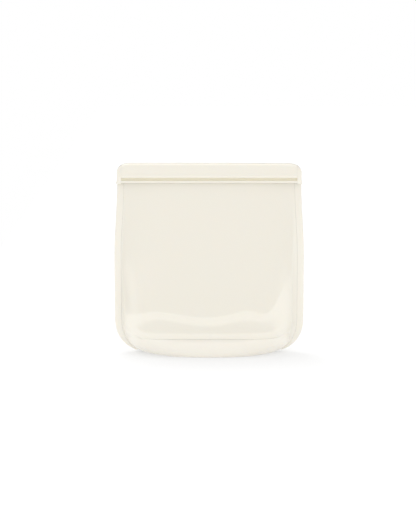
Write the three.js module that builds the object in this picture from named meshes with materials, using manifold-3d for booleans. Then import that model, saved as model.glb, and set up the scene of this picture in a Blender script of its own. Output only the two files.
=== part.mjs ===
// A reusable stand-up silicone food bag, closed and empty, standing on its own base.
// Millimetres, +Z up, the front of the bag towards -Y, origin under the middle of the base.
//
// Two heel strips and a base gusset make a boat-shaped foot. Two moulded walls lean together
// above it, with a bonded seam down each side and a press-to-close band across the top. Each
// wall bends where it leaves its heel, at the crease, so the mouth opens when the walls lean
// apart, and the two walls always open by the same angle.
import * as THREE from "three";
import { mergeVertices } from "three/addons/utils/BufferGeometryUtils.js";
import Module from "manifold-3d";

const wasm = await Module();
wasm.setup();

// ---------------------------------------------------------------- driving dimensions
const bagWidth = 200; // over the side seams, at the belly
const mouthWidth = 193; // over the closure band
const bagHeight = 202;
const baseDepth = 60; // front to back at the crease
const fitGap = 0.3; // between pieces that touch

const wallThickness = 1.6;
const floorThickness = 2.4;

const footLength = 124; // outline of the foot that the bag stands on
const footDepth = 50;
const footRim = 3.5; // width of the heel strips where they touch the ground
const gussetRise = 0.8; // the gusset stays this far off the ground
const foldWidth = 1.6; // fold line along the middle of the gusset
const foldDepth = 0.8;
const heelHeight = 12; // height over which the foot rounds out to the full depth
const cornerHeight = 36; // height of the rounded lower corners
const creaseHeight = 19.5; // where the walls leave the heels
const creaseCorner = 34; // radius of the crease as it climbs towards each side seam
const creaseOvershoot = 2; // how far past the seam that curve would stand upright

const seamWidth = 5;
const seamThickness = 2.4;
const seamFoot = 2.5; // height at which the seam starts, clear of the ground

const bandHeight = 20;
const bandCorner = 9; // radius of the band's two upper corners
const ridgeHeight = 3; // rounded bar along the bottom of the band
const ridgeProud = 1.6; // how far the ridge stands out from the wall below it
const grooveHeight = 2.3; // thumb groove above the ridge
const grooveDepth = 1.3;
const lipEdge = 3.6; // thickness of one lip at its free edge
const stopLength = 4.5; // solid end of the closure at each side
const stopDrop = 1.6; // how far the solid ends hang below the ridge

const trackThickness = 3.3;
const trackHeight = 14;
const ribHeight = 2.2;
const ribReach = 1.75; // how far a rib enters its channel
const ribClearance = 0.4; // above, below and beyond a rib
const ribPitch = 6; // between the two ribs

// ---------------------------------------------------------------- places worked out from them
const bandBottom = bagHeight - bandHeight;
const trackInside = fitGap / 2; // each track's inner face, from the middle plane
const trackOutside = trackInside + trackThickness;
const bandInside = trackOutside + fitGap;
const wallTopOutside = bandInside + wallThickness / 2; // half depth of the pocket under the band
const ridgeOutside = wallTopOutside + ridgeProud;
const lipOutside = ridgeOutside - grooveDepth * 0.6;
const grooveBottom = ridgeOutside - grooveDepth;
const trackBottom = bandBottom + fitGap;
const trackTop = trackBottom + trackHeight;
const trackLength = mouthWidth - 2 * stopLength - 2 * fitGap;
const stopBottom = bandBottom - stopDrop;
const flareStart = bandBottom * 0.56; // the seams draw in from the belly's width above this,
const flareEnd = bandBottom; // and reach the width of the mouth here

// ---------------------------------------------------------------- the shape of the pocket
const roundOver = (share, power) => Math.pow(1 - Math.pow(1 - share, power), 1 / power);
const smooth = (share) => THREE.MathUtils.smoothstep(share, 0, 1);

// Share of the lower corner's full width that is reached at a height, from 0 at the ground to 1.
const cornerShare = (z) => roundOver(Math.min(1, Math.max(0, z) / cornerHeight), 2.2);

// Half width over the seams, seen from the front.
function outlineHalf(z) {
  const belly = footLength / 2 + ((bagWidth - footLength) / 2) * cornerShare(z);
  return belly - ((bagWidth - mouthWidth) / 2) * smooth((z - flareStart) / (flareEnd - flareStart));
}

// Half width of the hollow part, inside the seams.
const pocketHalf = (z) => outlineHalf(z) - seamWidth * cornerShare(z);

// Half depth: out over the heel, full at the crease, then in towards the closure.
function depthHalf(z) {
  if (z < creaseHeight) {
    const heel = roundOver(Math.min(1, Math.max(0, z) / heelHeight), 2.2);
    return footDepth / 2 + ((baseDepth - footDepth) / 2) * heel;
  }
  const share = (z - creaseHeight) / (bandBottom - creaseHeight);
  return wallTopOutside + (baseDepth / 2 - wallTopOutside) * (1 - Math.pow(share, 1.2));
}

// How square a section is: an oval at the foot, and nearly flat in the middle from the crease up.
const squareness = (z) => THREE.MathUtils.lerp(2.6, 4, Math.min(1, Math.max(0, z) / creaseHeight));

// A horizontal section: two walls that run side by side and close together at the seams.
function section(halfWidth, halfDepth, power, points) {
  return Array.from({ length: points }, (_, i) => {
    const turn = (2 * Math.PI * i) / points;
    const along = Math.cos(turn);
    const out = Math.pow(Math.max(0, 1 - Math.pow(Math.abs(along), power)), 0.6);
    return new THREE.Vector2(halfWidth * along, Math.sign(Math.sin(turn)) * halfDepth * out);
  });
}

// ---------------------------------------------------------------- geometry helpers
// A closed skin over horizontal sections, each { z, points } with the same number of points.
function loft(sections) {
  const count = sections[0].points.length;
  const corners = sections.flatMap(({ z, points }) => points.flatMap((p) => [p.x, p.y, z]));
  const faces = [];
  for (let level = 0; level + 1 < sections.length; level++) {
    for (let i = 0; i < count; i++) {
      const a = level * count + i;
      const b = level * count + ((i + 1) % count);
      faces.push(a, b, b + count, a, b + count, a + count);
    }
  }
  const top = (sections.length - 1) * count;
  for (let i = 1; i + 1 < count; i++) {
    faces.push(0, i + 1, i); // floor
    faces.push(top, top + i, top + i + 1); // lid
  }
  const geometry = new THREE.BufferGeometry();
  geometry.setAttribute("position", new THREE.Float32BufferAttribute(corners, 3));
  geometry.setIndex(faces);
  return geometry;
}

// A closed three.js geometry as a solid that can be cut and joined.
function solidOf(geometry) {
  const bare = geometry.clone();
  bare.deleteAttribute("normal");
  bare.deleteAttribute("uv");
  const merged = mergeVertices(bare, 1e-4);
  const mesh = new wasm.Mesh({
    numProp: 3,
    vertProperties: new Float32Array(merged.attributes.position.array),
    triVerts: new Uint32Array(merged.index.array),
  });
  return new wasm.Manifold(mesh);
}

// A solid as a three.js geometry again.
function geometryOf(solid) {
  const mesh = solid.getMesh();
  const geometry = new THREE.BufferGeometry();
  geometry.setAttribute("position", new THREE.BufferAttribute(mesh.vertProperties, 3));
  geometry.setIndex(new THREE.BufferAttribute(mesh.triVerts, 1));
  geometry.computeVertexNormals();
  return geometry;
}

// A flat outline in X and Z, made into a plate centred on the middle plane.
function plate(shape, thickness, curveSegments = 10) {
  const options = { depth: thickness, bevelEnabled: false, curveSegments };
  const geometry = new THREE.ExtrudeGeometry(shape, options);
  geometry.translate(0, 0, -thickness / 2);
  const turn = new THREE.Matrix4().makeBasis(
    new THREE.Vector3(1, 0, 0),
    new THREE.Vector3(0, 0, 1),
    new THREE.Vector3(0, -1, 0),
  );
  return geometry.applyMatrix4(turn);
}

// A section drawn as (distance in front of the middle plane, height), run across the bag.
function bar(shape, length) {
  const options = { depth: length, bevelEnabled: false, curveSegments: 5 };
  const geometry = new THREE.ExtrudeGeometry(shape, options);
  geometry.translate(0, 0, -length / 2);
  const turn = new THREE.Matrix4().makeBasis(
    new THREE.Vector3(0, -1, 0),
    new THREE.Vector3(0, 0, 1),
    new THREE.Vector3(-1, 0, 0),
  );
  return geometry.applyMatrix4(turn);
}

function block(x0, x1, y0, y1, z0, z1) {
  const geometry = new THREE.BoxGeometry(x1 - x0, y1 - y0, z1 - z0);
  return geometry.translate((x0 + x1) / 2, (y0 + y1) / 2, (z0 + z1) / 2);
}

// ---------------------------------------------------------------- pocket: foot and walls
const sectionPoints = 40;
const heelLevels = [0, 0.06, 0.16, 0.35, 0.62, 1].map((share) => share * heelHeight);
const cornerLevels = [0, 0.25, 0.5, 0.75, 1].map(
  (share) => creaseHeight + share * (cornerHeight - creaseHeight),
);
const wallSteps = 14;
const wallLevels = Array.from({ length: wallSteps }, (_, i) => (
  cornerHeight + ((i + 1) / wallSteps) * (bandBottom - cornerHeight)
));
const levels = [...heelLevels, ...cornerLevels, ...wallLevels];

function makeShell() {
  const outside = levels.map((z) => ({
    z,
    points: section(pocketHalf(z), depthHalf(z), squareness(z), sectionPoints),
  }));
  const innerLevels = [floorThickness, ...levels.filter((z) => z > floorThickness + 1)];
  const inside = innerLevels.map((z) => {
    const lifted = z - wallThickness / 2; // keeps the wall's thickness where it rounds into the floor
    const halfWidth = pocketHalf(lifted) - 1.5 * wallThickness;
    const halfDepth = depthHalf(lifted) - wallThickness;
    return { z, points: section(halfWidth, halfDepth, squareness(lifted), sectionPoints) };
  });
  const last = inside.at(-1);
  inside.push({ z: last.z + 1, points: last.points }); // carries the hollow out of the top
  return solidOf(loft(outside)).subtract(solidOf(loft(inside)));
}

// Everything above the crease, seen from the front, with the crease moved by `offset`.
function aboveCrease(offset) {
  const low = creaseHeight + offset;
  const side = bagWidth / 2 + creaseOvershoot;
  const straight = side - creaseCorner;
  const shape = new THREE.Shape();
  shape.moveTo(-straight, low);
  shape.lineTo(straight, low);
  shape.absarc(straight, low + creaseCorner, creaseCorner, -Math.PI / 2, 0, false);
  shape.lineTo(side, bandBottom - fitGap);
  shape.lineTo(-side, bandBottom - fitGap);
  shape.lineTo(-side, low + creaseCorner);
  shape.absarc(-straight, low + creaseCorner, creaseCorner, Math.PI, 1.5 * Math.PI, false);
  return solidOf(plate(shape, 2 * baseDepth));
}

const shell = makeShell();

const frontHalf = solidOf(block(-bagWidth, bagWidth, -baseDepth, -fitGap / 2, -1, bagHeight));

// The foot's outline moved inwards by `inset`, as an upright prism.
function footPrism(inset, z0, z1) {
  const points = section(footLength / 2 - inset, footDepth / 2 - inset, squareness(0), sectionPoints);
  return solidOf(loft([{ z: z0, points }, { z: z1, points }]));
}

// Oval floor of the bag, with the line along which it folds when the bag is put away flat.
function makeGusset() {
  const top = gussetRise + floorThickness;
  const fold = block(-footLength, footLength, -foldWidth / 2, foldWidth / 2, top - foldDepth, top + 1);
  return footPrism(footRim + fitGap, gussetRise, top).subtract(solidOf(fold));
}

// Lower strip of the front half, from the ground to the crease, with the ledge for the gusset.
const makeHeel = () => shell
  .subtract(aboveCrease(-fitGap / 2))
  .subtract(footPrism(footRim, -1, floorThickness + 1))
  .intersect(solidOf(block(-bagWidth, bagWidth, -baseDepth, baseDepth, -1, creaseHeight + creaseCorner)))
  .intersect(frontHalf);

const makePanel = () => shell.intersect(aboveCrease(fitGap / 2)).intersect(frontHalf);

// ---------------------------------------------------------------- side seams
// One strip, from near the ground round the lower corner and up to the closure.
function makeSeam(side) {
  const steps = 30;
  const heights = Array.from({ length: steps + 1 }, (_, i) => {
    const share = Math.pow(i / steps, 1.6); // closer together round the lower corner
    return seamFoot + share * (stopBottom - fitGap - seamFoot);
  });
  const outer = heights.map((z) => new THREE.Vector2(side * outlineHalf(z), z));
  const inner = heights.map((z) => new THREE.Vector2(side * (pocketHalf(z) + fitGap), z));
  return plate(new THREE.Shape([...outer, ...inner.reverse()]), seamThickness);
}

// ---------------------------------------------------------------- closure
// The outline of the whole band seen from the front, with its two rounded upper corners.
function bandEnvelope() {
  const half = mouthWidth / 2;
  const shape = new THREE.Shape();
  shape.moveTo(-half, stopBottom);
  shape.lineTo(half, stopBottom);
  shape.lineTo(half, bagHeight - bandCorner);
  shape.absarc(half - bandCorner, bagHeight - bandCorner, bandCorner, 0, Math.PI / 2, false);
  shape.lineTo(-half + bandCorner, bagHeight);
  shape.absarc(-half + bandCorner, bagHeight - bandCorner, bandCorner, Math.PI / 2, Math.PI, false);
  return solidOf(plate(shape, 4 * ridgeOutside, 8));
}

// Outer skin of the closure: ridge, thumb groove and lip, hooked over the top of the track.
function makeBand() {
  const ridgeTop = bandBottom + ridgeHeight;
  const ridgeLow = bandBottom + ridgeHeight * 0.2;
  const ridgeHigh = bandBottom + ridgeHeight * 0.7;
  const grooveTop = ridgeTop + grooveHeight;
  const hook = trackTop + fitGap;
  const round = Math.min(1.2, lipEdge / 3);
  const shape = new THREE.Shape();
  shape.moveTo(bandInside, bandBottom);
  shape.lineTo(wallTopOutside, bandBottom);
  shape.quadraticCurveTo(ridgeOutside, ridgeLow, ridgeOutside, ridgeHigh);
  shape.quadraticCurveTo(ridgeOutside, ridgeTop, ridgeOutside - grooveDepth / 2, ridgeTop);
  shape.lineTo(grooveBottom, ridgeTop);
  shape.lineTo(grooveBottom, grooveTop);
  shape.quadraticCurveTo(lipOutside, grooveTop, lipOutside, grooveTop + round);
  shape.lineTo(trackInside + lipEdge, bagHeight - round);
  shape.quadraticCurveTo(trackInside + lipEdge, bagHeight, trackInside + lipEdge - round, bagHeight);
  shape.lineTo(trackInside + round, bagHeight);
  shape.quadraticCurveTo(trackInside, bagHeight, trackInside, bagHeight - round);
  shape.lineTo(trackInside, hook);
  shape.lineTo(bandInside, hook);
  return solidOf(bar(shape, trackLength)).intersect(bandEnvelope());
}

const ribCentres = [-ribPitch / 2, ribPitch / 2].map((z) => trackBottom + trackHeight / 2 + z);

// Front half of the press seal: a strip with two channels in its inner face.
function makeChannelTrack() {
  const half = ribHeight / 2 + ribClearance;
  const bottom = trackInside + ribReach + ribClearance;
  const shape = new THREE.Shape();
  shape.moveTo(trackInside, trackBottom);
  shape.lineTo(trackOutside, trackBottom);
  shape.lineTo(trackOutside, trackTop);
  shape.lineTo(trackInside, trackTop);
  for (const z of [...ribCentres].reverse()) {
    shape.lineTo(trackInside, z + half);
    shape.lineTo(bottom, z + half * 0.7);
    shape.lineTo(bottom, z - half * 0.7);
    shape.lineTo(trackInside, z - half);
  }
  return bar(shape, trackLength);
}

// Back half: the same strip with two ribs that reach over the middle plane into the channels.
// It is drawn facing the front, and turned over with the rest of the back wall.
function makeRibTrack() {
  const half = ribHeight / 2;
  const tip = -(ribReach + trackInside);
  const shape = new THREE.Shape();
  shape.moveTo(trackInside, trackBottom);
  shape.lineTo(trackOutside, trackBottom);
  shape.lineTo(trackOutside, trackTop);
  shape.lineTo(trackInside, trackTop);
  for (const z of [...ribCentres].reverse()) {
    shape.lineTo(trackInside, z + half);
    shape.quadraticCurveTo(tip, z + half * 0.7, tip, z);
    shape.quadraticCurveTo(tip, z - half * 0.7, trackInside, z - half);
  }
  return bar(shape, trackLength);
}

// Solid end of the closure, where the two halves are moulded together.
function makeEndStop(side) {
  const outer = mouthWidth / 2;
  const inner = outer - stopLength;
  const [x0, x1] = side < 0 ? [-outer, -inner] : [inner, outer];
  return solidOf(block(x0, x1, -lipOutside, lipOutside, stopBottom, bagHeight)).intersect(bandEnvelope());
}

// ---------------------------------------------------------------- assembly
const silicone = { color: 0xf0ecdf, metalness: 0 };
const materials = {
  wall: new THREE.MeshStandardMaterial({ ...silicone, roughness: 0.32 }),
  foot: new THREE.MeshStandardMaterial({ ...silicone, color: 0xefeadc, roughness: 0.38 }),
  band: new THREE.MeshStandardMaterial({ ...silicone, color: 0xf3eee2, roughness: 0.42 }),
  track: new THREE.MeshStandardMaterial({ ...silicone, color: 0xe9e2cf, roughness: 0.5 }),
  seam: new THREE.MeshStandardMaterial({ ...silicone, color: 0xf2eee3, roughness: 0.36 }),
};

function piece(name, shape, material) {
  const geometry = shape.isBufferGeometry ? shape : geometryOf(shape);
  const mesh = new THREE.Mesh(geometry, material);
  mesh.name = name;
  return mesh;
}

function wall(name, track) {
  const group = new THREE.Group();
  group.add(piece(`${name}_panel`, makePanel(), materials.wall));
  group.add(piece(`${name}_band`, makeBand(), materials.band));
  group.add(piece(`${name}_track`, track, materials.track));
  return group;
}

// One heel faces the front, and its twin is turned over to the back.
function heel(name, turned) {
  const mesh = piece(name, makeHeel(), materials.foot);
  mesh.scale.y = turned ? -1 : 1;
  return mesh;
}

const base = new THREE.Group();
base.add(heel("front_heel", false), heel("back_heel", true));
base.add(piece("base_gusset", makeGusset(), materials.foot));
for (const [name, side] of [["left", -1], ["right", 1]]) {
  base.add(piece(`${name}_seam`, makeSeam(side), materials.seam));
  base.add(piece(`${name}_end_stop`, makeEndStop(side), materials.band));
}

const frontWall = wall("front", makeChannelTrack());
const backWall = wall("back", makeRibTrack());
backWall.scale.y = -1; // the back is the front turned over, apart from its track

const bag = new THREE.Group();
bag.add(base, frontWall, backWall);

export default bag;
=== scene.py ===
import math

import bmesh
import bpy
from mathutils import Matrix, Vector


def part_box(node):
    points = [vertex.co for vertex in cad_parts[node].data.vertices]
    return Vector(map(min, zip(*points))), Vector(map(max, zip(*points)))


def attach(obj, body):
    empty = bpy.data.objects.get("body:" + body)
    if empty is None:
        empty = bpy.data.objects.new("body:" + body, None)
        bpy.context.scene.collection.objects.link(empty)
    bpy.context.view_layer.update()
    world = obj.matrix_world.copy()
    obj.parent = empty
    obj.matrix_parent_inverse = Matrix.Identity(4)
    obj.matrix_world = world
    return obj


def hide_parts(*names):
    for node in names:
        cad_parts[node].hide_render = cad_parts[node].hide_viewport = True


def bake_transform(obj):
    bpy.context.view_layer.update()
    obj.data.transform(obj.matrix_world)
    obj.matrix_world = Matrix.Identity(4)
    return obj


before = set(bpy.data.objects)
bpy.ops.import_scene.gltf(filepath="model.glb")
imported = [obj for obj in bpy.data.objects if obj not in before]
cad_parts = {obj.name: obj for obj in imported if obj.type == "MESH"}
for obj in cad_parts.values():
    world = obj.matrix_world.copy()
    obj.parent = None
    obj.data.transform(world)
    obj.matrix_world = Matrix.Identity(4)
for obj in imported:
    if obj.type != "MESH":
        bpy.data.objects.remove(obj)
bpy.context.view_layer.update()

# A stand-up silicone food bag, closed and empty. Shapes are worked out in millimetres,
# with the front of the bag towards -Y, and each piece is brought to metres when it is finished.
mm = 0.001
frontSide, backSide = -1, 1
leftSide, rightSide = -1, 1


def boxOf(node):
    low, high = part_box(node)
    return low / mm, high / mm


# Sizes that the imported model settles
panelBox = boxOf("front_panel")
heelBox = boxOf("front_heel")
gussetBox = boxOf("base_gusset")
bandBox = boxOf("front_band")
seamBox = boxOf("right_seam")
stopBox = boxOf("right_end_stop")

gap = -bandBox[1].y  # half of the clearance between neighbouring pieces
joint = 0.03  # what shows of it along the crease and against the end stops
bond = 0.006  # and where a wall is bonded to a side seam
weld = 0.004  # points closer than this become one
bag = {
    "halfWidth": seamBox[1].x,
    "mouthHalf": stopBox[1].x,
    "height": bandBox[1].z,
    "halfDepth": -heelBox[0].y,
    "bandBottom": bandBox[0].z,
    "crease": panelBox[0].z - gap,
    "bandHalf": bandBox[1].x,
    "topCorner": (12.5, 9.0),  # along and down
}

# How the pocket is shaped between those sizes
pocket = {
    "wall": 1.6,  # thickness
    "seam": 7.0,  # what shows of the side seam, with its bond line
    "footHalf": gussetBox[1].x + 3.8,  # the gusset sits inside the ground rim
    "footDepth": 27.5,
    "footRim": 3.5,  # how far the base turns in under the bag
    "cornerHeight": 36.0,
    "heelHeight": 6.5,
    "roundPower": 2.2,
    "footSquare": 2.6,  # higher is squarer, seen from above
    "wallSquare": {leftSide: 7.5, rightSide: 6.5},  # low on the wall
    "headSquare": 4.5,  # and high on it
    "squareRise": (62.0, 112.0),
    "footEase": 0.7,
    "sideEase": 1.25,  # how gently the wall comes down to its margin
    "flareStart": 0.56,  # the sides start to draw in at this share of the height
    "lean": 1.2,
    "neckDepth": 4.55,  # half depth just under the band
    "flangeFace": 1.19,  # the wall meets the side seam this far from the middle plane
    "creaseCorner": 34.0,
    "creaseOvershoot": 2.0,
    "settle": 30,  # rounds that bring an edge point onto the curved crease
    "flat": {leftSide: 1.2, rightSide: 5.0},  # flat margin of the wall beside the seam
    "flatFoot": (8.0, 20.0),  # the margin starts and is full at these heights
    "flatHead": (70.0, 190.0),  # and narrows again
    "flatLeast": 1.2,
}


def clamp(value, low=0.0, high=1.0):
    return min(high, max(low, value))


def smooth(share):
    share = clamp(share)
    return share * share * (3 - 2 * share)


def mix(a, b, share):
    return a + (b - a) * share


def bump(distance, width):
    return math.exp(-((distance / width) ** 2))


def roundOver(share, power):
    return (1 - (1 - clamp(share)) ** power) ** (1 / power)


def cornerShare(z):
    return roundOver(z / pocket["cornerHeight"], pocket["roundPower"])


def outlineHalf(z):
    belly = mix(pocket["footHalf"], bag["halfWidth"], cornerShare(z))
    start = pocket["flareStart"] * bag["bandBottom"]
    flare = smooth((z - start) / (bag["bandBottom"] - start))
    return belly - (bag["halfWidth"] - bag["mouthHalf"]) * flare


def seamInside(z):
    return outlineHalf(z) - pocket["seam"] * cornerShare(z)


def pocketEdge(z, side):
    start, full = pocket["flatFoot"]
    fade, end = pocket["flatHead"]
    begun = smooth((z - start) / (full - start))
    left = 1 - smooth((z - fade) / (end - fade))
    return seamInside(z) - begun * mix(pocket["flatLeast"], pocket["flat"][side], left)


def depthHalf(z):
    if z < bag["crease"]:
        heel = roundOver(z / pocket["heelHeight"], pocket["roundPower"])
        return mix(pocket["footDepth"], bag["halfDepth"], heel)
    share = clamp((z - bag["crease"]) / (bag["bandBottom"] - bag["crease"]))
    return mix(bag["halfDepth"], pocket["neckDepth"], share ** pocket["lean"])


def creaseAt(x):
    corner = pocket["creaseCorner"]
    past = abs(x) - (bag["halfWidth"] + pocket["creaseOvershoot"] - corner)
    if past <= 0:
        return bag["crease"]
    return bag["crease"] + corner - math.sqrt(corner ** 2 - min(past, corner) ** 2)


# Where the front wall rolls over its belly, as bumps on a level line: (x, rise, reach along x)
frontFolds = {
    "level": 43.8,
    "bumps": [(-54, 4.4, 22), (-98, -5.0, 12), (-6, -1.2, 14), (38, 6.0, 14), (88, 44.0, 16)],
    "swell": 1.0,  # how far the wall stands out above that line
    "swellReach": 75.0,
    "drop": 1.5,  # how far the belly falls back below that line
    "deeper": [(-84, 1.0, 15), (90, 2.7, 18)],  # and where it falls back further
    "dropHeight": 9.0,  # over this height
    "widen": [(0, 5.0, 16), (38, 4.0, 9), (-84, 16.0, 15), (88, 50.0, 14)],
    "hem": 0.75,  # small roll just above the crease
    "hemRise": 6.5,
    "hemWidth": 4.5,
}
backFolds = {
    "level": 46.0,
    "bumps": [(-48, -4.0, 24), (20, 4.5, 26), (74, -5.0, 20)],
    "swell": 0.9,
    "swellReach": 80.0,
    "drop": 1.3,
    "deeper": [(-80, 1.2, 24)],
    "dropHeight": 9.0,
    "widen": [(-40, 8.0, 20), (70, 8.0, 22)],
    "hem": 0.8,
    "hemRise": 4.5,
    "hemWidth": 3.6,
}
crease = {
    "depth": 0.45,
    "width": 2.0,
    "fade": (34.0, 68.0),  # it fades out towards both sides
    "least": 0.2,
}
neck = {
    "depth": 1.7,  # the wall dips in under the band
    "height": 10.0,
    "pucker": 0.7,  # and puckers near its two ends
    "puckerAt": 76.0,
    "puckerWidth": 17.0,
    "puckerDrop": 3.0,
    "puckerHeight": 9.0,
}


def sumOfBumps(x, bumps):
    return sum(rise * bump(x - at, reach) for at, rise, reach in bumps)


def foldOffset(x, z, folds):
    crest = folds["level"] + sumOfBumps(x, folds["bumps"])
    drop = folds["dropHeight"] + sumOfBumps(x, folds["widen"])
    above = folds["swell"] * (1 - smooth((z - crest) / folds["swellReach"]))
    depth = folds["drop"] + sumOfBumps(x, folds["deeper"])
    below = depth * (1 - (1 - clamp((crest - z) / drop)) ** 2)
    hem = folds["hem"] * bump(z - creaseAt(x) - folds["hemRise"], folds["hemWidth"])
    return above - below + hem


def creaseShare(x):
    start, end = crease["fade"]
    return mix(1.0, crease["least"], smooth((abs(x) - start) / (end - start)))


def neckOffset(x, z):
    under = bag["bandBottom"] - z
    cove = neck["depth"] * bump(under, neck["height"])
    corners = bump(abs(x) - neck["puckerAt"], neck["puckerWidth"])
    return cove + neck["pucker"] * corners * bump(under - neck["puckerDrop"], neck["puckerHeight"])


def wallDepth(x, z, side, folds):
    inside = pocketEdge(z, side)
    along = clamp(abs(x) / inside)
    up = clamp(z / bag["crease"])
    start, end = pocket["squareRise"]
    risen = smooth((z - start) / (end - start))
    wallSquare = mix(pocket["wallSquare"][side], pocket["headSquare"], risen)
    square = mix(pocket["footSquare"], wallSquare, up)
    rise = (1 - along ** square) ** mix(pocket["footEase"], pocket["sideEase"], up)
    depth = depthHalf(z)
    if z > bag["crease"]:
        depth += foldOffset(x, z, folds) - neckOffset(x, z)
    toCrease = abs(z - creaseAt(x))
    depth -= crease["depth"] * creaseShare(x) * bump(toCrease, crease["width"])
    return mix(pocket["flangeFace"], max(depth, pocket["flangeFace"]), rise)


rounding = {"segments": 4, "soft": 38, "crisp": 50}  # edges sharper than these degrees stay edges


# Welds a mesh worked out in millimetres, brings it to metres, gives it its material and hides the
# imported parts it stands in for
def finishPiece(name, bm, material, nodes, sharp=rounding["soft"]):
    bmesh.ops.remove_doubles(bm, verts=bm.verts, dist=weld)
    bmesh.ops.recalc_face_normals(bm, faces=bm.faces)
    loose = sum(1 for edge in bm.edges if len(edge.link_faces) != 2)
    bmesh.ops.scale(bm, vec=(mm, mm, mm), verts=bm.verts)
    mesh = bpy.data.meshes.new(name)
    bm.to_mesh(mesh)
    bm.free()
    mesh.materials.append(material)
    mesh.shade_smooth()
    mesh.set_sharp_from_angle(angle=math.radians(sharp))
    piece = bpy.data.objects.new(name, mesh)
    bpy.context.scene.collection.objects.link(piece)
    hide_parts(*nodes)
    print(f"piece {name}: {len(mesh.polygons)} faces, {loose} open edges")
    return piece


def opensWith(piece):
    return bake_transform(piece)


def gridOf(columns, rows, place):
    bm = bmesh.new()
    bmesh.ops.create_grid(bm, x_segments=columns, y_segments=rows, size=1)
    for vert in bm.verts:
        vert.co = place(vert.co.x, (vert.co.y + 1) / 2)
    bmesh.ops.remove_doubles(bm, verts=bm.verts, dist=weld)
    return bm


def thicken(bm, thickness, inward):
    # inward is a direction that the outer face looks away from
    bm.normal_update()
    facing = sum((face.normal * face.calc_area() for face in bm.faces), Vector())
    if facing.dot(Vector(inward)) > 0:
        bmesh.ops.reverse_faces(bm, faces=bm.faces)
    outer = set(bm.verts)
    bmesh.ops.solidify(bm, geom=bm.faces[:], thickness=thickness)
    return [vert for vert in bm.verts if vert not in outer]


def profileBar(corners, start, end, steps):
    # corners are (y, z, radius) of a section that runs along X
    bm = bmesh.new()
    ring = [bm.verts.new((start, y, z)) for y, z, radius in corners]
    bm.faces.new(ring)
    byRadius = {}
    for vert, corner in zip(ring, corners):
        byRadius.setdefault(corner[2], []).append(vert)
    for radius, verts in sorted(byRadius.items()):
        if radius > 0:
            bmesh.ops.bevel(bm, geom=verts, offset=radius, offset_type="OFFSET", affect="VERTICES",
                            segments=rounding["segments"], profile=0.5, material=-1,
                            clamp_overlap=True)
    bmesh.ops.spin(bm, geom=bm.verts[:] + bm.edges[:] + bm.faces[:], cent=(0, 0, 0), axis=(1, 0, 0),
                   dvec=((end - start) / steps, 0, 0), angle=0, steps=steps, use_duplicate=False)
    return bm


def linearColour(hexText):
    channels = [int(hexText[i:i + 2], 16) / 255 for i in (1, 3, 5)]
    curve = [c / 12.92 if c <= 0.04045 else ((c + 0.055) / 1.055) ** 2.4 for c in channels]
    return (*curve, 1.0)


def addNode(tree, kind, settings=(), links=()):
    node = tree.nodes.new(kind)
    for key, value in dict(settings).items():
        if isinstance(key, int) or key in node.inputs:
            node.inputs[key].default_value = value
        else:
            setattr(node, key, value)
    for key, (source, socket) in dict(links).items():
        tree.links.new(source.outputs[socket], node.inputs[key])
    return node


# Platinum-cured silicone, compression moulded: dense and milky, so hardly any light comes through
# a wall this thick, with a smooth satin skin that draws broad soft highlights.
# Tones are those of the pigment, save the foot's paler tone, which is painted light, and the groove's,
# which is painted shade; patches are the faint unevenness of its cure.
silicone = {
    "silicone_wall": {
        "name": "moulded_platinum_silicone_wall",
        "tone": "#eeeade",
        "patch": "#eee9dd",
        "rough": (0.18, 0.22),
        "coat": 0.8,
    },
    "silicone_foot": {  # painted a shade paler than the wall, as painted light from the table below it
        "name": "moulded_platinum_silicone_foot",
        "tone": "#f0ece1",
        "patch": "#f0ebe0",
        "rough": (0.20, 0.24),
        "coat": 0.7,
    },
    "silicone_band": {  # duller, from a matte mould, so that the lip reads flat and even
        "name": "matte_mould_silicone_band",
        "tone": "#efebdf",
        "patch": "#efeade",
        "rough": (0.26, 0.30),
        "coat": 0.4,
        "groove": "#eee7d0",  # painted shade: the groove's floor is painted darker and warmer, as light caught in it would look
    },
    "silicone_track": {  # deeper in tone, so that the ribs and channels read inside the mouth
        "name": "matte_mould_silicone_track",
        "tone": "#ebe5d5",
        "patch": "#eae3d2",
        "rough": (0.2, 0.24),
        "coat": 0.6,
    },
    "silicone_seam": {  # pressed flat where the two walls are cured together
        "name": "bonded_silicone_seam",
        "tone": "#efebdf",
        "patch": "#efeade",
        "rough": (0.18, 0.22),
        "coat": 0.7,
    },
}
cure = {  # sizes in metres, as materials read them
    "patchSize": 0.06,
    "patchDetail": 2.0,
    "grainSize": 0.0012,  # a real mould grain of about 0.1 mm, drawn as coarse as it needs to show
    "grainDepth": 0.000012,
    "grainDetail": 3.0,
    "grainStrength": 0.35,
    "ior": 1.6,
    "glow": 0.1,  # a little light goes into the surface and comes out warm
    "glowDepth": 0.001,
    "glowColour": (1.0, 0.8, 0.55),
    "coatRough": 0.16,
    "coatIor": 1.5,
}


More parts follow.
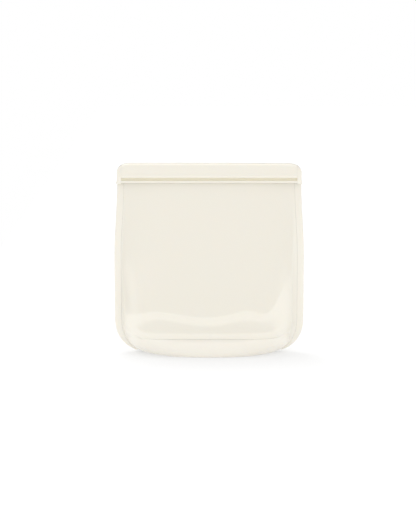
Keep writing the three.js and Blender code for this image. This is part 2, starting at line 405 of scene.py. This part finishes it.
def siliconeMaterial(look):
    material = bpy.data.materials.new(look["name"])
    material.use_nodes = True
    tree = material.node_tree
    tree.nodes.clear()
    place = addNode(tree, "ShaderNodeTexCoord")
    patches = addNode(tree, "ShaderNodeTexNoise",
                      {"Scale": 1 / cure["patchSize"], "Detail": cure["patchDetail"]},
                      {"Vector": (place, "Object")})
    tone = addNode(tree, "ShaderNodeMix",
                   {"data_type": "RGBA", 6: linearColour(look["tone"]), 7: linearColour(look["patch"])},
                   {0: (patches, "Fac")})
    # painted shade on the floor of the groove, masked by the groove attribute
    if "groove" in look:
        groove = addNode(tree, "ShaderNodeAttribute", {"attribute_name": "groove"})
        tone = addNode(tree, "ShaderNodeMix", {"data_type": "RGBA", 7: linearColour(look["groove"])},
                       {0: (groove, "Fac"), 6: (tone, 2)})
    low, high = look["rough"]
    shine = addNode(tree, "ShaderNodeMapRange",
                    {"To Min": low, "To Max": high},
                    {"Value": (patches, "Fac")})
    grain = addNode(tree, "ShaderNodeTexNoise",
                    {"Scale": 1 / cure["grainSize"], "Detail": cure["grainDetail"]},
                    {"Vector": (place, "Object")})
    relief = addNode(tree, "ShaderNodeBump",
                     {"Strength": cure["grainStrength"], "Distance": cure["grainDepth"]},
                     {"Height": (grain, "Fac")})
    skin = addNode(tree, "ShaderNodeBsdfPrincipled",
                   {"IOR": cure["ior"], "Subsurface Weight": cure["glow"],
                    "Subsurface Scale": cure["glowDepth"], "Subsurface Radius": cure["glowColour"],
                    "Coat Weight": look["coat"], "Coat Roughness": cure["coatRough"],
                    "Coat IOR": cure["coatIor"]},
                   {"Base Color": (tone, 2), "Roughness": (shine, "Result"),
                    "Normal": (relief, "Normal")})
    addNode(tree, "ShaderNodeOutputMaterial", {}, {"Surface": (skin, "BSDF")})
    return material


finish = {slotName: siliconeMaterial(look) for slotName, look in silicone.items()}
print("materials made")


wallGrid = {
    "columns": 72,
    "rows": 150,
    "flatColumns": 0.1,  # share of the columns that lie on the flat margin
    "cluster": 1.25,  # above 1, rows crowd together near the crease
    "topGap": 0.3,  # to the band above
    "middle": 0.6,  # points nearer the middle than this are brought onto it
}


# Where each point of a half wall goes, from the crease up to the band
def wallPlace(side, facing, folds):
    flatShare = wallGrid["flatColumns"]

    def acrossAt(share, z):
        inside = pocketEdge(z, side)
        if share <= 1 - flatShare:
            return inside * math.sin(share / (1 - flatShare) * math.pi / 2)
        return mix(inside, seamInside(z) - bond, (share - 1 + flatShare) / flatShare)

    def place(u, t):
        share = (u + 1) / 2
        z = bag["crease"]
        for step in range(pocket["settle"]):
            z = creaseAt(acrossAt(share, z)) + joint * creaseShare(acrossAt(share, z))
        z = mix(z, bag["bandBottom"] - wallGrid["topGap"], t ** wallGrid["cluster"])
        x = acrossAt(share, z)
        return Vector((side * x, facing * wallDepth(side * x, z, side, folds), z))

    return place


def makeWall(name, node, side, facing, folds):
    bm = gridOf(wallGrid["columns"], wallGrid["rows"], wallPlace(side, facing, folds))
    inner = thicken(bm, pocket["wall"], (0, -facing, 0))
    for vert in inner:
        if abs(vert.co.x) < wallGrid["middle"]:
            vert.co.x = 0.0
        vert.co.y = facing * max(gap, facing * vert.co.y)
    piece = finishPiece(name, bm, finish["silicone_wall"], [node])
    return opensWith(piece)


for side, word in ((leftSide, "left"), (rightSide, "right")):
    makeWall(f"front_panel_{word}", "front_panel", side, frontSide, frontFolds)
    makeWall(f"back_panel_{word}", "back_panel", side, backSide, backFolds)
print("walls made")


heelGrid = {
    "columns": 116,
    "rows": 40,
    "rimRows": 3,  # of those, the rows on the ground
    "cluster": 1.7,
    "inwardRise": 0.3,  # its wall is thickened inwards and a little up
    "insideFloor": 0.2,  # the inner face stays this high
}


# Where each point of a heel goes: the ground rim first, then the rounded wall up to the crease
def heelPlace(facing, folds):
    rows = heelGrid["rows"]
    rimShare = heelGrid["rimRows"] / rows

    def acrossAt(along, z):
        return along * (seamInside(z) - bond)

    def place(u, t):
        along = math.sin(u * math.pi / 2)
        side = rightSide if u >= 0 else leftSide
        if t < rimShare:
            inset = 1 - t / rimShare
            x = along * (pocket["footHalf"] - pocket["footRim"] * inset)
            out = (1 - abs(along) ** pocket["footSquare"]) ** pocket["footEase"]
            y = out * (pocket["footDepth"] - pocket["footRim"] * inset)
            return Vector((x, facing * max(gap, y), 0.0))
        z = bag["crease"]
        for step in range(pocket["settle"]):
            z = creaseAt(acrossAt(along, z)) - joint * creaseShare(acrossAt(along, z))
        z *= ((t - rimShare) / (1 - rimShare)) ** heelGrid["cluster"]
        x = acrossAt(along, z)
        return Vector((x, facing * max(gap, wallDepth(x, z, side, folds)), z))

    return place


def makeHeel(name, node, facing, folds):
    bm = gridOf(heelGrid["columns"], heelGrid["rows"], heelPlace(facing, folds))
    inner = thicken(bm, pocket["wall"], (0, -facing, heelGrid["inwardRise"]))
    for vert in inner:
        vert.co.y = facing * max(gap, facing * vert.co.y)
        vert.co.z = max(vert.co.z, heelGrid["insideFloor"])
    piece = finishPiece(name, bm, finish["silicone_foot"], [node])
    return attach(piece, "base")


makeHeel("heel_front", "front_heel", frontSide, frontFolds)
makeHeel("heel_back", "back_heel", backSide, backFolds)
print("heels made")


# The sheet that closes the base, with the ridge of its fold along the middle
gusset = {
    "low": gussetBox[0].z,
    "thick": gussetBox[1].z - gussetBox[0].z,
    "halfLength": gussetBox[1].x,
    "halfDepth": gussetBox[1].y,
    "fold": 0.8,
    "foldWidth": 1.6,
    "columns": 56,
    "rows": 28,
}


def gussetPlace(u, t):
    along = math.sin(u * math.pi / 2)
    across = 2 * t - 1
    out = (1 - abs(along) ** pocket["footSquare"]) ** pocket["footEase"]
    y = gusset["halfDepth"] * across * out
    fold = gusset["fold"] * bump(y, gusset["foldWidth"])
    return Vector((gusset["halfLength"] * along, y, gusset["low"] + fold))


def makeGusset():
    bm = gridOf(gusset["columns"], gusset["rows"], gussetPlace)
    thicken(bm, gusset["thick"], (0, 0, 1))
    top = gusset["low"] + gusset["thick"] + gusset["fold"]
    for vert in bm.verts:
        vert.co.z = clamp(vert.co.z, gusset["low"], top)
        vert.co.x = clamp(vert.co.x, -gusset["halfLength"], gusset["halfLength"])
    piece = finishPiece("gusset_sheet", bm, finish["silicone_foot"], ["base_gusset"])
    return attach(piece, "base")


makeGusset()
print("gusset made")


# The two side seams, where the walls are pressed and cured together
seam = {
    "bottom": seamBox[0].z,
    "top": stopBox[0].z - joint,
    "neckRise": 1.0,  # its inner edge goes on up to the band
    "neckFrom": -0.3,  # from this far across the strip, -1 being its inner edge
    "half": seamBox[1].y,
    "steps": 110,
    "cluster": 1.4,
    "ring": 20,
    "square": 0.45,  # 1 is round, and lower is squarer
    "bonded": 0.03,  # the same on the side of the wall, where it is nearly a flat face
}


def makeSeam(name, node, side):
    bm = bmesh.new()
    bmesh.ops.create_circle(bm, cap_ends=True, cap_tris=False, segments=seam["ring"], radius=1)
    bmesh.ops.spin(bm, geom=bm.verts[:] + bm.edges[:] + bm.faces[:], cent=(0, 0, 0), axis=(0, 0, 1),
                   dvec=(0, 0, 1 / seam["steps"]), angle=0, steps=seam["steps"], use_duplicate=False)
    for vert in bm.verts:
        u, v = (math.copysign(abs(c) ** seam["square"], c) for c in (vert.co.x, vert.co.y))
        if u < 0:
            v = math.copysign(abs(v) ** seam["bonded"], v)
        top = seam["top"] + (seam["neckRise"] if u < seam["neckFrom"] else 0.0)
        z = mix(seam["bottom"], top, vert.co.z ** seam["cluster"])
        inner, outer = seamInside(z) + bond, outlineHalf(z)
        vert.co = (side * mix(inner, outer, (u + 1) / 2), v * seam["half"], z)
    piece = finishPiece(name, bm, finish["silicone_seam"], [node])
    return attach(piece, "base")


makeSeam("seam_strip_left", "left_seam", leftSide)
makeSeam("seam_strip_right", "right_seam", rightSide)
print("seams made")


lipSag = {"depth": 0.45, "start": 10.0, "length": 75.0}  # the lip hangs a little on the right


def topAt(x):
    along, down = bag["topCorner"]
    past = clamp((abs(x) - bag["mouthHalf"] + along) / along)
    sag = lipSag["depth"] * smooth((x - lipSag["start"]) / lipSag["length"])
    return bag["height"] - down * (1 - math.sqrt(1 - past ** 2)) - sag


stop = {
    "inside": stopBox[0].x,
    "bottom": stopBox[0].z,
    "half": stopBox[1].y,
    "ear": 0.9,  # stands out past the lip at the foot of the stop
    "earHeight": 2.2,
    "earTaper": 0.7,
    "earFade": 1.8,
    "round": 0.8,
    "rimAngle": 60,  # edges that turn more than this are rounded
    "rimClear": 0.1,  # but not those against the bands
    "steps": 10,
}

# The section of the band, with its ridge, thumb groove and lip:
# (out from the middle plane, height, radius)
bandSection = [
    (2.2, 181.4, 0.2),
    (5.1, 181.4, 0.9),
    (6.15, 182.9, 0.5),
    (5.9, 184.0, 0.35),
    (4.0, 184.25, 0.3),
    (4.0, 186.8, 0.3),
    (5.9, 187.2, 0.45),
    (6.05, 189.3, 0.7),
    (5.35, 190.8, 0.8),
    (5.1, 199.5, 0.0),
    (4.2, 202.0, 1.5),
    (0.15, 202.0, 0.7),
    (0.15, 196.6, 0.3),
    (3.75, 196.6, 0.3),
    (3.75, 183.2, 0.3),
    (2.2, 183.0, 0.2),
]
band = {
    "steps": 62,
    "grooveFloor": (184.1, 187.1, 5.0),  # from, to, and how far out it counts as the groove's floor
    "lipFoot": 191.0,  # the lip is bent down at its corners above this height
}
track = {
    "steps": 46,
    "out": 3.45,
    "bottom": 182.4,
    "top": 196.2,
    "round": 0.5,
}
ribs = {
    "centres": (186.3, 192.3),
    "half": 1.1,
    "reach": 1.75,
    "clearance": 0.4,  # the channels are this much wider and deeper
    "noseShare": 0.72,
    "noseRound": 0.5,
    "rootRound": 0.2,
    "mouthRound": 0.25,
    "floorRound": 0.3,
}


def makeBand(name, node, side, facing):
    corners = [(facing * out, z, radius) for out, z, radius in bandSection]
    bm = profileBar(corners, 0.0, side * (stop["inside"] - joint), band["steps"])
    # marks the floor of the groove, where its painted shade goes
    paintedGrooveShade = bm.verts.layers.float.new("groove")
    lipFoot = band["lipFoot"]
    low, high, reach = band["grooveFloor"]
    for vert in bm.verts:
        vert[paintedGrooveShade] = float(low < vert.co.z < high and facing * vert.co.y < reach)
        if vert.co.z > lipFoot:
            share = (vert.co.z - lipFoot) / (bag["height"] - lipFoot)
            vert.co.z = lipFoot + share * (topAt(vert.co.x) - lipFoot)
    piece = finishPiece(name, bm, finish["silicone_band"], [node], rounding["crisp"])
    return opensWith(piece)


def makeTrack(name, node, side, facing):
    inside, outside, edge = facing * gap, facing * track["out"], track["round"]
    corners = [(outside, track["bottom"], edge), (outside, track["top"], edge),
               (inside, track["top"], edge)]
    for centre in sorted(ribs["centres"], reverse=True):
        if facing == frontSide:  # channels
            half = ribs["half"] + ribs["clearance"]
            floor = facing * (gap + ribs["reach"] + ribs["clearance"])
            mouthRound, floorRound = ribs["mouthRound"], ribs["floorRound"]
            corners += [(inside, centre + half, mouthRound), (floor, centre + half, floorRound),
                        (floor, centre - half, floorRound), (inside, centre - half, mouthRound)]
        else:  # ribs with a rounded nose
            half, nose = ribs["half"], ribs["half"] * ribs["noseShare"]
            tip = gap - ribs["reach"]
            rootRound, noseRound = ribs["rootRound"], ribs["noseRound"]
            corners += [(inside, centre + half, rootRound), (tip, centre + nose, noseRound),
                        (tip, centre - nose, noseRound), (inside, centre - half, rootRound)]
    corners.append((inside, track["bottom"], edge))
    bm = profileBar(corners, 0.0, side * bag["bandHalf"], track["steps"])
    piece = finishPiece(name, bm, finish["silicone_track"], [node], rounding["crisp"])
    return opensWith(piece)


for side, word in ((leftSide, "left"), (rightSide, "right")):
    for facing, wall in ((frontSide, "front"), (backSide, "back")):
        makeBand(f"{wall}_band_{word}", f"{wall}_band", side, facing)
        makeTrack(f"{wall}_track_{word}", f"{wall}_track", side, facing)
print("closure made")


# The caps that hold the two bands together at the ends of the mouth
def makeStop(name, node, side):
    outer, inner = bag["mouthHalf"], stop["inside"]
    bottom, ear, earHeight = stop["bottom"], stop["ear"], stop["earHeight"]
    outline = [(inner, bottom), (outer + ear, bottom),
               (outer + ear * stop["earTaper"], bottom + earHeight),
               (outer, bottom + earHeight * stop["earFade"])]
    for step in range(stop["steps"] + 1):
        x = mix(outer, inner, (step / stop["steps"]) ** 2)
        outline.append((x, topAt(side * x)))
    bm = bmesh.new()
    ring = [bm.verts.new((side * x, -stop["half"], z)) for x, z in outline]
    bm.faces.new(ring)
    bmesh.ops.spin(bm, geom=bm.verts[:] + bm.edges[:] + bm.faces[:], cent=(0, 0, 0), axis=(0, 1, 0),
                   dvec=(0, 2 * stop["half"], 0), angle=0, steps=1, use_duplicate=False)
    bmesh.ops.recalc_face_normals(bm, faces=bm.faces)
    turn, clear = math.radians(stop["rimAngle"]), inner + stop["rimClear"]
    rims = [edge for edge in bm.edges if edge.calc_face_angle(0) > turn
            and max(abs(vert.co.x) for vert in edge.verts) > clear]
    bmesh.ops.bevel(bm, geom=rims, offset=stop["round"], offset_type="OFFSET", affect="EDGES",
                    segments=rounding["segments"], profile=0.5, material=-1, clamp_overlap=True)
    piece = finishPiece(name, bm, finish["silicone_band"], [node], rounding["crisp"])
    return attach(piece, "base")


makeStop("end_stop_left_cap", "left_end_stop", leftSide)
makeStop("end_stop_right_cap", "right_end_stop", rightSide)
print("end stops made")


# Pale table, even light from all round, and a soft light from above, behind and to the left
studio = {
    "table": {"left": -0.3, "right": 0.6, "front": -1.0, "back": 3.0, "drop": 0.0002, "cells": 8},
    "tableTone": "#adadad",
    "tableRough": (0.85, 0.95),
    "tableMottle": 3.0,
    "tableGlow": 0.5,  # a light table, so that shadows on it stay pale
    "dome": 1.13,  # what the bag and the table are lit by from all round
    "dim": 0.13,  # what the shine sees past the table
    "sides": {"glow": 0.45, "from": 0.88, "to": 1.0},  # and far to the left and right
    "softbox": {  # angles in degrees, and turned from straight behind
        "power": 0.75,
        "softness": 30.0,
        "height": 69.0,
        "turn": -40.0,
    },
}


def makeFloor():
    bm = bmesh.new()
    table = studio["table"]
    bmesh.ops.create_grid(bm, x_segments=table["cells"], y_segments=table["cells"], size=1)
    for vert in bm.verts:
        vert.co.x = mix(table["left"], table["right"], (vert.co.x + 1) / 2)
        vert.co.y = mix(table["front"], table["back"], (vert.co.y + 1) / 2)
        vert.co.z = -table["drop"]
    mesh = bpy.data.meshes.new("studio_floor")
    bm.to_mesh(mesh)
    bm.free()
    # Matte paint lit from below: an even pale ground, with only a faint soft shadow on it
    material = bpy.data.materials.new("matte_painted_floor")
    material.use_nodes = True
    tree = material.node_tree
    paint = tree.nodes["Principled BSDF"]
    place = addNode(tree, "ShaderNodeTexCoord")
    mottle = addNode(tree, "ShaderNodeTexNoise", {"Scale": studio["tableMottle"]},
                     {"Vector": (place, "Object")})
    low, high = studio["tableRough"]
    shade = addNode(tree, "ShaderNodeMapRange", {"To Min": low, "To Max": high},
                    {"Value": (mottle, "Fac")})
    tree.links.new(shade.outputs["Result"], paint.inputs["Roughness"])
    paint.inputs["Base Color"].default_value = linearColour(studio["tableTone"])
    paint.inputs["Specular IOR Level"].default_value = 0.0
    paint.inputs["Emission Color"].default_value = (1, 1, 1, 1)
    paint.inputs["Emission Strength"].default_value = studio["tableGlow"]
    mesh.materials.append(material)
    floor = bpy.data.objects.new("studio_floor", mesh)
    bpy.context.scene.collection.objects.link(floor)


# Each kind of ray sees its own sky: white behind the bag, the dome as light, and dim as shine
def makeWorld():
    world = bpy.data.worlds.new("soft_studio")
    bpy.context.scene.world = world
    world.use_nodes = True
    tree = world.node_tree
    tree.nodes.clear()
    rays = addNode(tree, "ShaderNodeLightPath")
    direction = addNode(tree, "ShaderNodeTexCoord")
    parts = addNode(tree, "ShaderNodeSeparateXYZ", {}, {0: (direction, "Generated")})
    sideways = addNode(tree, "ShaderNodeMath", {"operation": "ABSOLUTE"}, {0: (parts, "X")})
    sides = studio["sides"]
    shine = addNode(tree, "ShaderNodeMapRange",
                    {"interpolation_type": "SMOOTHSTEP", "From Min": sides["from"],
                     "From Max": sides["to"], "To Min": studio["dim"], "To Max": sides["glow"]},
                    {"Value": (sideways, 0)})
    lit = addNode(tree, "ShaderNodeMix", {"data_type": "FLOAT", 2: studio["dome"]},
                  {0: (rays, "Is Glossy Ray"), 3: (shine, "Result")})
    seen = addNode(tree, "ShaderNodeMix", {"data_type": "FLOAT", 3: 1.0},
                   {0: (rays, "Is Camera Ray"), 2: (lit, 0)})
    sky = addNode(tree, "ShaderNodeBackground", {}, {"Color": (seen, 0)})
    addNode(tree, "ShaderNodeOutputWorld", {}, {"Surface": (sky, "Background")})


def makeSoftbox():
    softbox = studio["softbox"]
    light = bpy.data.lights.new("overhead_softbox", "SUN")
    light.energy = softbox["power"]
    light.angle = math.radians(softbox["softness"])
    height, turn = math.radians(softbox["height"]), math.radians(softbox["turn"])
    level = math.cos(height)
    toward = Vector((level * math.sin(turn), level * math.cos(turn), math.sin(height)))
    lamp = bpy.data.objects.new("overhead_softbox", light)
    lamp.rotation_euler = toward.to_track_quat("Z", "Y").to_euler()
    bpy.context.scene.collection.objects.link(lamp)


view = {
    "lens": 120.0,
    "sensor": 36.0,
    "lift": 10.0,  # degrees that it looks down by
    "target": (-0.0013, 0.0, 0.0991),
    "width": 0.5492,  # metres across the camera's sensor width at the target
    "reach": 100.0,
}


def makeCamera():
    lens = bpy.data.cameras.new("camera")
    lens.lens = view["lens"]
    lens.sensor_width = view["sensor"]
    lens.dof.use_dof = False
    lens.clip_end = view["reach"]
    camera = bpy.data.objects.new("camera", lens)
    lift = math.radians(view["lift"])
    distance = view["width"] * lens.lens / lens.sensor_width
    back = Vector((0.0, -math.cos(lift), math.sin(lift)))
    camera.location = Vector(view["target"]) + back * distance
    camera.rotation_euler = back.to_track_quat("Z", "Y").to_euler()
    bpy.context.scene.collection.objects.link(camera)
    bpy.context.scene.camera = camera


makeFloor()
makeWorld()
makeSoftbox()
makeCamera()
bpy.context.scene.view_settings.view_transform = "Standard"
print("studio made")
